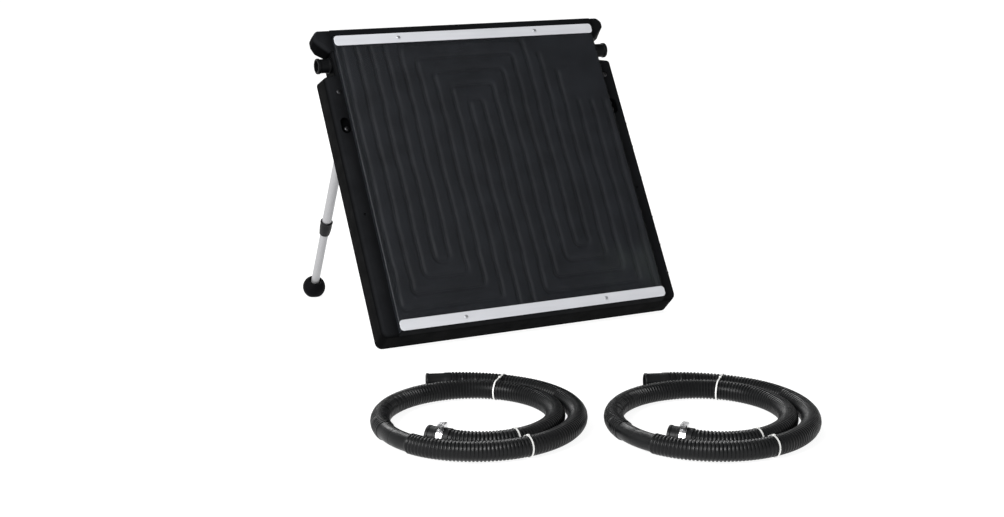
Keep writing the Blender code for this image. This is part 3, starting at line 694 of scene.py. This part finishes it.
def make_ties(word, centre):
    """White straps: one round both turns at the far side, and one round each turn at the near side."""
    made = []
    for kind, turns in (("double", (15, 375)), ("inner", (510,)), ("outer", (150,))):
        radii = [coil_radius(angle) for angle in turns]
        place = coil_place(centre, turns[0], (max(radii) + min(radii)) / 2)
        half_wide = (max(radii) - min(radii)) / 2 + TIE_BORE
        mesh = tie_loop(half_wide, TIE_BORE, TIE_WIDTH, TIE_THICK)
        head = block("head", (-2.8 * MM, 19.2 * MM, -2.6 * MM), (2.8 * MM, 22.0 * MM, 2.6 * MM), 0.7 * MM)
        mesh = boolean(mesh, [head], "UNION")
        place = along_matrix(place, hose_way(centre, turns[0]))
        name, replaced = f"{word}_{kind}_strap", f"{word}_hose_{kind}_tie"
        made.append(piece(name, mesh, TIE_WHITE, "root", place, [replaced]))
    return made


# ---------------- housing

# Millimetres in the panel's own axes. The absorber's block fills the front between the sills.
HALF_WIDTH, TRAY_BOTTOM, TRAY_TOP = 365.5, -4.5, 718.5
FLANGE_Z, BACK_Z = -17, -75
NOTCH_X = 337
BLOCK_HALF, BLOCK_LOW, BLOCK_TOP = 328, 0.3, 699.6
FIT = 0.3
RECESS, RECESS_HALF = (339.5, 487), (11, 19)
BRACKET_BOLT = (337, 481)
FLANGE_SCREW = (339, 568)
DIMPLE, DIMPLE_RADIUS = (342.5, 275.5), 2.7
PORT_Y, PORT_Z = 642.5, -38
SIDE_RIBS = (60, 130, 200, 300, 380, 440)
TOP_RIBS = (-240, -160, -80, 0, 80, 160, 240)
RIB_HALF = 1.2


def tray_ring(inset, z):
    """The tray's outline at one depth, moved inward, in millimetres."""
    depth = max(0, FLANGE_Z - z) / (FLANGE_Z - BACK_Z)
    low, top = TRAY_BOTTOM - 11 * depth + inset, TRAY_TOP + 2.5 * depth - inset
    wide, notch = HALF_WIDTH - inset, NOTCH_X - inset * 0.65
    right = [
        (wide, low, max(4, 15 - inset)), (wide, 606 - inset / 2 + 12 * depth, max(3, 9 - inset)),
        (notch, 611 - inset / 2 + 6 * depth, 4), (notch, top, max(2, 7 - inset / 2)),
        (190, top, 10), (181, top - 1.6, 8), (166, top - 1.6, 8), (157, top, 10),
    ]
    left = [(-x, y, radius) for x, y, radius in reversed(right)]
    return [(x, y, z) for x, y in rounded(right + left, 6)]


def tray_body():
    """The outer form: a flat flange that rolls over a soft edge into drafted walls."""
    roll, steps = 10, 9
    levels = []
    for k in range(steps + 1):
        angle = math.pi / 2 * k / steps
        levels.append((roll * (1 - math.sin(angle)), FLANGE_Z - roll * (1 - math.cos(angle))))
    levels += [(0, -40), (0, BACK_Z + 1), (0.3, BACK_Z + 0.3), (1, BACK_Z)]
    rings = [millimetres(tray_ring(inset, z)) for inset, z in levels]
    return loft("tray", rings, capped=True)


def tray_hollow():
    """The space inside the walls, open at the back."""
    levels = [(4, BACK_Z - 5), (4, -40), (4, -23), (5.5, -21.3)]
    return loft("hollow", [millimetres(tray_ring(*level)) for level in levels], capped=True)


def along_x(name, outline, half):
    """A flat outline in (y, z) drawn out along x both ways, in millimetres."""
    rings = [millimetres([(x, y, z) for y, z in outline]) for x in (-half, half)]
    return loft(name, rings, capped=True)


def sills():
    """The bottom and top walls in front of the flange, which close the ends of the absorber."""
    bottom = [(-1.0, -3.4), (-0.4, -2.8), (3, -2.8), (3, -24), (-5.75, -24), (-4.6, -17)]
    crest, soft = 708.5, 7.5
    top = [(698, -24), (698, -2.8), (crest, -2.8)]
    for angle in np.radians((18, 36, 54, 72)):
        top.append((crest + soft * math.sin(angle), -10.3 + soft * math.cos(angle)))
    top += [(716.4, -12), (718.7, -24)]
    return [along_x("bottom_sill", bottom, 327.7), along_x("top_sill", top, 331)]


def lug(side):
    """The rounded lug above a port, built up from rings of (inset, z, fullness)."""
    levels = [(9, -12.6, 0), (5.5, -13.4, 0), (2.8, -15.6, 0), (0.8, -19, 0.04), (0, -23, 0.1)]
    levels += [(0, -46, 0.5), (0.8, -50, 0.55), (2.6, -53, 0.55)]
    rings = []
    for inset, z, full in levels:
        top = 720.5 - inset + 3 * full
        corners = [
            (322, 664 + inset * 0.6, 2), (339 - inset * 0.4 + 8 * full, 664.5 + inset * 0.6, 4),
            (361 - inset + 6 * full, 686 + inset * 0.3 - 15 * full, 7 - 2 * full),
            (370.5 - inset, 696 - 6 * full, 6), (370.5 - inset, 707, 8),
            (360 - inset * 0.5, top, 9), (322, top, 2),
        ]
        rings.append(millimetres([(x, y, z) for x, y in rounded(corners, 5)]))
    return mirrored(loft("lug", rings, capped=True), side)


def oval(x, y, half_width, half_height):
    """An upright slot outline with round ends."""
    steps = 12
    top = arc_points((x, y + half_height - half_width), half_width, 0, 180, steps)
    return top + arc_points((x, y - half_height + half_width), half_width, 180, 360, steps)


def flared(outline_at, floor):
    """A cutter that opens with a soft rim at the flange and runs straight down to a floor."""
    levels = [(1.6, FLANGE_Z + 2), (1.6, FLANGE_Z), (0.75, FLANGE_Z - 0.25), (0.2, FLANGE_Z - 0.8)]
    levels += [(0, FLANGE_Z - 1.7), (0, floor)]
    rings = [millimetres([(x, y, z) for x, y in outline_at(grow)]) for grow, z in levels]
    return loft("flared", rings, capped=True)


def housing_cutters(side):
    """What is cut from one side: room for the header and the port, the recess, screw holes and a dimple."""
    rooms = [panel_block("room", (245, 612, -62), (335.2, 673, -21.3), side)]
    wall = millimetres([(side * 330, PORT_Y, PORT_Z), (side * 350, PORT_Y, PORT_Z)])
    rooms.append(bar("port_hole", *wall, 17.8 * MM, 40))
    recess, (wide, tall) = (side * RECESS[0], RECESS[1]), RECESS_HALF
    rooms.append(flared(lambda grow: oval(*recess, wide + grow, tall + grow), -25))
    for (x, y), radius in ((BRACKET_BOLT, 2.9), (FLANGE_SCREW, 2.4)):
        ends = millimetres([(side * x, y, -36), (side * x, y, -10)])
        rooms.append(bar("hole", *ends, radius * MM, 16))
    dimple = (side * DIMPLE[0], DIMPLE[1])
    rooms.append(flared(lambda grow: arc_points(dimple, DIMPLE_RADIUS + grow, 0, 345, 23), -20))
    return rooms


def back_ribs():
    """Stiffening ribs moulded along the top wall and up the side walls, seen from behind."""
    made = []
    for side, _ in SIDES:
        for y in SIDE_RIBS:
            low, high = (357, y - RIB_HALF, -60), (363.5, y + RIB_HALF, -19)
            made.append(panel_block("rib", low, high, side))
    for x in TOP_RIBS:
        made.append(panel_block("rib", (x - RIB_HALF, 707, -62), (x + RIB_HALF, 714, -24)))
    return made


def make_housing():
    """The tray: hollowed, given its ledge, sills, lugs, bosses and ribs, then cut for what it holds."""
    mesh = boolean(tray_body(), [tray_hollow()], "DIFFERENCE")
    joined = [panel_block("ledge", (-336, -3, -31), (336, 713, -19)), *sills()]
    for side, _ in SIDES:
        joined.append(lug(side))
        joined.append(panel_block("boss", (326, 458, -31), (352, 589, -19), side, 1.5 * MM))
    joined += back_ribs()
    mesh = boolean(mesh, joined, "UNION")
    low, high = (-BLOCK_HALF - FIT, BLOCK_LOW - FIT, -27.3), (BLOCK_HALF + FIT, BLOCK_TOP + FIT, 10)
    cuts = [panel_block("rebate", low, high), panel_block("window", (-302, 24, -50), (302, 686, 0))]
    for side, _ in SIDES:
        cuts += housing_cutters(side)
    mesh = boolean(mesh, cuts, "DIFFERENCE")
    piece("tray_shell", mesh, TRAY_BLACK, "root", PANEL, ["housing"], 28)


# ---------------- absorber

# Millimetres. The pinch lines stand PITCH apart, and their turns nest at the bottom and the top.
PITCH = 34.8
LOW_TURN, LOW_PITCH = 46, 33.5
HIGH_TURN, HIGH_PITCH = 671, 36
HEADER_ENDS = (628, 580, 502, 497)
TURN_RADIUS = 13
RIM, RIM_BACK = 4, -26.8
FILM_THICK, FILM_ROLL = 0.6, 3.2


def groove_routes():
    """The pinch lines between the water channels: four nested snakes, a middle loop and a border line."""

    def at(index):
        return (index - 9) * PITCH

    routes = []
    for k in range(4):
        low, high = LOW_TURN + LOW_PITCH * k, HIGH_TURN - HIGH_PITCH * (3 - k)
        corners = [(at(k), 720), (at(k), low), (at(7 - k), low), (at(7 - k), high), (at(10 + k), high)]
        corners += [(at(10 + k), low), (at(17 - k), low), (at(17 - k), HEADER_ENDS[3 - k])]
        routes.append(corners)
    top = HIGH_TURN - 4 * HIGH_PITCH
    routes.append([(at(8), -20), (at(8), top), (at(9), top), (at(9), -20)])
    routes.append([(at(18), -20), (at(18), HEADER_ENDS[3])])
    bends = [[(x, y, TURN_RADIUS) for x, y in corners] for corners in routes]
    return [rounded(corners, 5, closed=False) for corners in bends]


def distance_to(routes, x, y):
    """Distance of each grid point from the nearest route."""
    nearest = np.full(x.shape, 1e9)
    for route in routes:
        for (ax, ay), (bx, by) in zip(route, route[1:]):
            dx, dy = bx - ax, by - ay
            share = np.clip(((x - ax) * dx + (y - ay) * dy) / max(dx * dx + dy * dy, 1e-9), 0, 1)
            nearest = np.minimum(nearest, np.hypot(x - ax - share * dx, y - ay - share * dy))
    return nearest


def front_height(x, y):
    """The absorber's front face: crowned channels between wavy pinch lines, and a dented header."""
    face, line_depth, shoulder_depth, sag, lip = -5.2, 3.5, 1.2, 0.25, 3.2
    wander = 1.3 * np.sin(y / 37 + x / 61) + 0.8 * np.sin(y / 14 + x / 29)
    wander = wander + 0.4 * np.sin(y / 6.5 + x / 9)
    gap = distance_to(groove_routes(), x + wander, y + 0.6 * wander)
    valley = 1 - soft_step(gap, 0.6, 9.0)
    crown = np.clip(gap / (PITCH / 2), 0, 1)
    z = face - line_depth * valley - shoulder_depth * (1 - crown) ** 2
    z = z - sag * np.abs(np.sin(y / 71 + x / 23))
    header = soft_step(x, 196, 232) * soft_step(y, 506, 545)
    z += header * (1 - valley) * 0.7
    dent = np.exp(-(((x - 244) / 22) ** 2) - ((y - 596) / 7) ** 2)
    z -= 1.6 * dent
    edge = np.minimum(np.minimum(BLOCK_HALF - np.abs(x), y - BLOCK_LOW), BLOCK_TOP - y)
    fall = np.clip(lip - edge, 0, lip)
    return z - (lip - np.sqrt(np.maximum(lip**2 - fall**2, 0)))


def back_height(x, y):
    """The absorber's back face: flat, with the pinch lines pressed in."""
    gap = distance_to(groove_routes(), x, y)
    return -10.6 + 1.4 * (1 - soft_step(gap, 0.5, 5.0))


def grid_lines():
    """Grid lines close together near the pinch lines and the turns, and wide apart between them."""
    near = (-7.5, -5.5, -3.6, -1.8, 0, 1.8, 3.6, 5.5, 7.5, 11, 17.4, 23.8)
    edge = (0, 0.25, 0.9, 1.9, 3.2, 6)
    xs = {round((i - 9) * PITCH + offset, 3) for i in range(19) for offset in near}
    xs |= {side * (BLOCK_HALF - e) for side in (-1, 1) for e in edge}
    xs = sorted(x for x in xs if abs(x) <= BLOCK_HALF)
    ys = set(np.arange(9, 165, 3.0)) | set(np.arange(165, 486, 20.0)) | set(np.arange(486, 694, 3.0))
    ys |= {BLOCK_LOW + e for e in edge} | {BLOCK_TOP - e for e in edge}
    return thinned(xs), thinned(sorted(ys))


def thinned(values):
    """The values without those that come too soon after the one before."""
    least = 0.2
    kept = [values[0]]
    for value in values[1:]:
        if value - kept[-1] >= least:
            kept.append(value)
    return np.array(kept)


def sheet_between(name, front, back, rim):
    """A closed mesh from two grids of points of one size, with extra rings round the rim between them."""
    rows, columns = front.shape[:2]
    border = [(0, j) for j in range(columns)] + [(i, columns - 1) for i in range(1, rows)]
    border += [(rows - 1, j) for j in range(columns - 2, -1, -1)] + [(i, 0) for i in range(rows - 2, 0, -1)]
    points = [front.reshape(-1, 3), back.reshape(-1, 3)]
    points += [np.array([ring(front[i, j]) for i, j in border]) for ring in rim]
    index = np.arange(rows * columns).reshape(rows, columns)
    quads = np.stack([index[:-1, :-1], index[:-1, 1:], index[1:, 1:], index[1:, :-1]], -1).reshape(-1, 4)
    faces = [quads, quads[:, ::-1] + rows * columns]
    loops = [np.array([index[i, j] for i, j in border])]
    start = 2 * rows * columns
    for _ in rim:
        loops.append(np.arange(start, start + len(border)))
        start += len(border)
    loops.append(loops[0] + rows * columns)
    for first, second in zip(loops, loops[1:]):
        faces.append(np.stack([np.roll(first, -1), first, second, np.roll(second, -1)], -1))
    mesh = bpy.data.meshes.new(name)
    mesh.from_pydata((np.concatenate(points) * MM).tolist(), [], np.concatenate(faces).tolist())
    mesh.validate()
    return mesh


def drawn_in(x, y):
    """A place moved toward the block's middle by the thickness of the rim."""
    middle = (BLOCK_LOW + BLOCK_TOP) / 2
    shrink = 1 - 2 * RIM / (BLOCK_TOP - BLOCK_LOW)
    return x * (BLOCK_HALF - RIM) / BLOCK_HALF, middle + (y - middle) * shrink


def make_absorber():
    """The labyrinth plate: a sheet with its rim turned back, open where the headers' necks pass."""
    x, y = np.meshgrid(*grid_lines())
    front = np.stack([x, y, front_height(x, y)], -1)
    inner = drawn_in(x, y)
    back = np.stack([*inner, back_height(*inner)], -1)
    rim = [
        lambda point: (point[0], point[1], RIM_BACK),
        lambda point: (*drawn_in(point[0], point[1]), RIM_BACK),
    ]
    mesh = sheet_between("absorber_plate", front, back, rim)
    rooms = [panel_block("neck_room", (318, 614, -30), (332, 671, -21.2), side) for side, _ in SIDES]
    mesh = boolean(mesh, rooms, "DIFFERENCE")
    piece("labyrinth_plate", mesh, CHARCOAL, "root", PANEL, ["absorber"], 50)


def film_height(x, y):
    """The clear sheet: nearly flat, slightly slack, and creased at its lower right corner."""
    film_z, held_edge = -2.7, 40
    slack = 0.35 * np.sin(x / 83 + 0.4) * np.sin(y / 107) + 0.2 * np.sin(x / 31 + y / 47)
    near_corner = np.exp(-(((x - 285) / 70) ** 2) - ((y - 75) / 75) ** 2)
    creases = np.sin((x - 0.55 * y) / 13.0) + 0.6 * np.sin((x + 1.7 * y) / 19.0)
    inset = np.clip(BLOCK_HALF - 4 - np.abs(x), 0, held_edge) / held_edge
    return film_z + 0.5 * slack * inset + 1.5 * near_corner * creases * inset


def film_grid(outside, roll):
    """The sheet's surface: flat over the absorber, rolled over its side edges and down its side walls."""
    flat = outside - roll
    turns = np.radians(np.arange(0, 91, 15))
    right = [(flat + roll * math.sin(a), roll * math.cos(a) - roll) for a in turns]
    right += [(outside, -roll - 4), (outside, -14.1)]
    middle = [(x, 0.0) for x in np.linspace(-flat, flat, 112)[1:-1]]
    section = [(-x, drop) for x, drop in reversed(right)] + middle + right
    ys = np.linspace(1, 698, 118)
    x, y = np.meshgrid([x for x, _ in section], ys)
    drop = np.broadcast_to([drop for _, drop in section], x.shape)
    return x, y, drop


def make_cover():
    """The clear sheet, wrapped over the absorber's side edges."""
    x, y, drop = film_grid(BLOCK_HALF + FIT + FILM_THICK, FILM_ROLL)
    front = np.stack([x, y, film_height(x, y) + drop], -1)
    inner_x, _, inner_drop = film_grid(BLOCK_HALF + FIT, FILM_ROLL - FILM_THICK)
    back = np.stack([inner_x, y, film_height(inner_x, y) - FILM_THICK + inner_drop], -1)
    mesh = sheet_between("film", front, back, [])
    piece("clear_sheet_film", mesh, CLEAR, "root", PANEL, ["clear_cover"], 60)


# ---------------- strips and screws

STRIP_HALF, STRIP_TALL, STRIP_CORNER, STRIP_SCREW_X = 328.5, 12, 8, 174


def pan_head(name, radius, height, shank, reach):
    """A domed pan-head screw with a cross recess, its head resting at z = 0."""
    angles = np.radians(range(90, 0, -12))
    dome = [(radius * math.sin(a), height * (0.25 + 0.75 * math.cos(a))) for a in angles]
    profile = [(0.02 * MM, -reach), (shank, -reach), (shank, 0), (radius, 0)] + dome
    profile.append((0.02 * MM, height))
    screw = plugged(lathe(name, profile, 28, loop=False))
    arm, blade = radius * 0.52, radius * 0.15
    low = height * 0.35
    cross = [block("slot", (-arm, -blade, low), (arm, blade, height * 2))]
    cross.append(block("slot", (-blade, -arm, low), (blade, arm, height * 2)))
    return boolean(screw, cross, "DIFFERENCE")


def make_strips():
    """The two silver strips that clamp the clear sheet, with two screws each."""
    for word, y in (("bottom", 12.0), ("top", 685.5)):
        ends = [(STRIP_HALF, y - STRIP_TALL), (STRIP_HALF, y + STRIP_TALL)]
        ends += [(-x, height) for x, height in reversed(ends)]
        outline = millimetres(rounded([(*end, STRIP_CORNER) for end in ends], 8))
        mesh = prism("strip", outline, -2 * MM, 0, 0.5 * MM)
        holes = []
        for side, _ in SIDES:
            x = side * STRIP_SCREW_X
            holes.append(bar("hole", *millimetres([(x, y, -5), (x, y, 5)]), 2.4 * MM, 16))
        mesh = boolean(mesh, holes, "DIFFERENCE")
        piece(
            f"{word}_clamping_strip", mesh, STRIP_SILVER, "root", PANEL,
            [f"{word}_strip"],
        )
        for side, hand in SIDES:
            mesh = pan_head("strip_screw", 4.4 * MM, 2.2 * MM, 2 * MM, 14 * MM)
            place = PANEL @ moved(side * STRIP_SCREW_X, y, 0.05)
            turn = Matrix.Rotation(math.radians(20 + 35 * side + y / 9), 4, "Z")
            piece(
                f"{word}_strip_pan_screw_{hand}", mesh, BRACKET_STEEL, "root",
                place @ turn, [f"{word}_strip_screw_{hand}"],
            )


def make_flange_screws():
    """The dark screws beside the cover: one on each flange and one low in each oval recess."""
    for side, word in SIDES:
        for kind, (x, y), z, size in (
            ("flange_screw", FLANGE_SCREW, FLANGE_Z, (5.4, 3.0, 2.0, 22)),
            ("bracket_bolt", BRACKET_BOLT, -25, (5.8, 3.8, 2.5, 12)),
        ):
            mesh = pan_head(kind, *[value * MM for value in size])
            place = PANEL @ moved(side * x, y, z + 0.1)
            turn = Matrix.Rotation(math.radians(25 * side + 10), 4, "Z")
            piece(
                f"{word}_{kind}_head", mesh, DARK_STEEL, "root", place @ turn,
                [f"{word}_{kind}"],
            )


# ---------------- ports


def make_ports():
    """Hollow spigots: a root ring, a plain barrel and a rolled lip."""
    corners = [
        (12.8, 334, 0.4), (12.8, 370, 1.2), (17.7, 370, 2.4), (17.7, 363.5, 2.0), (16.0, 362, 1.2),
        (15.8, 343, 0.8), (17.4, 342, 0.6), (17.4, 338.6, 0.6), (16.2, 338, 0.4), (16.2, 334, 0.3),
    ]
    profile = millimetres(rounded(corners, 5))
    for side, word in SIDES:
        place = PANEL @ moved(0, PORT_Y, PORT_Z) @ Matrix.Rotation(side * math.pi / 2, 4, "Y")
        piece(
            f"{word}_spigot", lathe("spigot", profile, 56), PORT_BLACK, "root",
            place, [f"{word}_port"],
        )


# ---------------- legs

FOOT_RADIUS, FOOT_FLAT = 27, 4.5


def tube_mesh(name, outer, inner, top, low):
    """A leg tube between two distances down from the pin, in millimetres."""
    corners = [(outer, top, 0.5), (outer, low, 0.5), (inner, low, 0.5), (inner, top, 0.5)]
    return lathe(name, millimetres([(r, -z) for r, z in rounded(corners, 3)]), 56)


def collar_mesh():
    """The twist collar: a fluted grip with a rolled top rim, tapering down to the lower tube."""
    corners = [
        (11.3, 266, 0.4), (13.8, 266, 0.7), (14.6, 267.4, 0.6), (14.6, 270.5, 0.5),
        (14.1, 271.5, 0.5), (14.2, 284, 3), (13.2, 296, 3), (12.2, 304, 1.2),
        (11.6, 305, 0.5), (10.0, 305, 0.4), (10.0, 290, 0.4), (11.3, 289.4, 0.3),
    ]
    steps, flutes, flute_depth = 72, 18, 0.35
    rings = []
    for radius, z in rounded(corners, 3):
        fluted = 273 < z < 297 and radius > 12
        ring = []
        for i in range(steps):
            angle = math.tau * i / steps
            grip = flute_depth * (0.5 + 0.5 * math.cos(angle * flutes)) if fluted else 0
            reach = (radius - grip) * MM
            ring.append((reach * math.cos(angle), reach * math.sin(angle), -z * MM))
        rings.append(ring)
    return loft("collar", rings, looped=True)


def foot_mesh(place, centre):
    """A ball foot with a dished mouth round its socket, flat where it stands."""
    socket, lip = 10.0, 16.0
    height = math.sqrt(FOOT_RADIUS**2 - lip**2)
    start = math.degrees(math.atan2(height, lip))
    ball = arc_points((0, -centre), FOOT_RADIUS, start, -89.5, 30)
    floor = -centre + FOOT_RADIUS - 13.3
    rim = [(socket, floor), (socket, -centre + height - 3.6), (10.8, -centre + height - 3.2)]
    rim += [(13.2, -centre + height - 1.6), (14.9, -centre + height - 0.2)]
    profile = rim + ball + [(0.05, -centre - FOOT_RADIUS), (0.05, floor)]
    mesh = lathe("foot", millimetres(profile), 56)
    bm = bmesh.new()
    bm.from_mesh(mesh)
    bm.transform(place)
    whole = bm.verts[:] + bm.edges[:] + bm.faces[:]
    cut = bmesh.ops.bisect_plane(
        bm, geom=whole, plane_co=(0, 0, 0), plane_no=(0, 0, -1), clear_outer=True
    )
    edges = [item for item in cut["geom_cut"] if isinstance(item, bmesh.types.BMEdge)]
    bmesh.ops.edgeloop_fill(bm, edges=edges)
    bm.transform(place.inverted())
    return finished(bm, "foot")


def make_legs():
    """Two telescopic legs, as long as it takes for the feet's flats to meet the floor."""
    pivot_height = RIGHT_PIVOT.z / MM
    lean = LEG_TURN.to_euler().x
    centre = (pivot_height - FOOT_RADIUS + FOOT_FLAT) / math.cos(lean)
    tube_end = centre - FOOT_RADIUS + 13
    for _, word in SIDES:
        place = leg_place(word)
        hole = bar("hole", (-0.02, 0, 0), (0.02, 0, 0), 3.3 * MM)
        upper = boolean(tube_mesh("upper", 11, 10.3, -5.5, 289), [hole], "DIFFERENCE")
        lower = tube_mesh("lower", 9.7, 8.3, 200, tube_end)
        parts = (
            ("upper_leg_tube", upper, TUBE_SILVER, "upper_leg", "satin_aluminium", "upper_tube"),
            ("lower_leg_tube", lower, TUBE_SILVER, "lower_leg", "satin_aluminium", "lower_tube"),
            ("leg_collar", collar_mesh(), CUFF_BLACK, "collar", "black_housing", "twist_collar"),
            ("ball_foot", foot_mesh(place, centre), RUBBER, "lower_leg", "black_rubber", "foot"),
        )
        for name, mesh, material, body, slot, replaced in parts:
            piece(f"{word}_{name}", mesh, material, f"{word}_{body}", place, [f"{word}_{replaced}"])


# ---------------- the scene

REPAINTED = (
    ("header", CHARCOAL, "charcoal_absorber"),
    ("slide_plug", CUFF_BLACK, "black_housing"),
    ("leg_bracket", BRACKET_STEEL, "bright_steel"),
    ("bracket_nut", BRACKET_STEEL, "bright_steel"),
    ("flange_nut", BRACKET_STEEL, "bright_steel"),
    ("pin_cap", BRACKET_STEEL, "bright_steel"),
    ("pivot_pin", STEEL, "bright_steel"),
    ("hose_clamp", STEEL, "bright_steel"),
    ("hose_clamp_screw", STEEL, "bright_steel"),
)

make_camera()
make_studio()
for _, hand_word in SIDES:
    make_hose(hand_word)
make_housing()
make_absorber()
make_cover()
make_strips()
make_flange_screws()
make_ports()
make_legs()
for _, hand_word in SIDES:
    for kind_word, finish_material, slot_name in REPAINTED:
        repaint(f"{hand_word}_{kind_word}", finish_material)
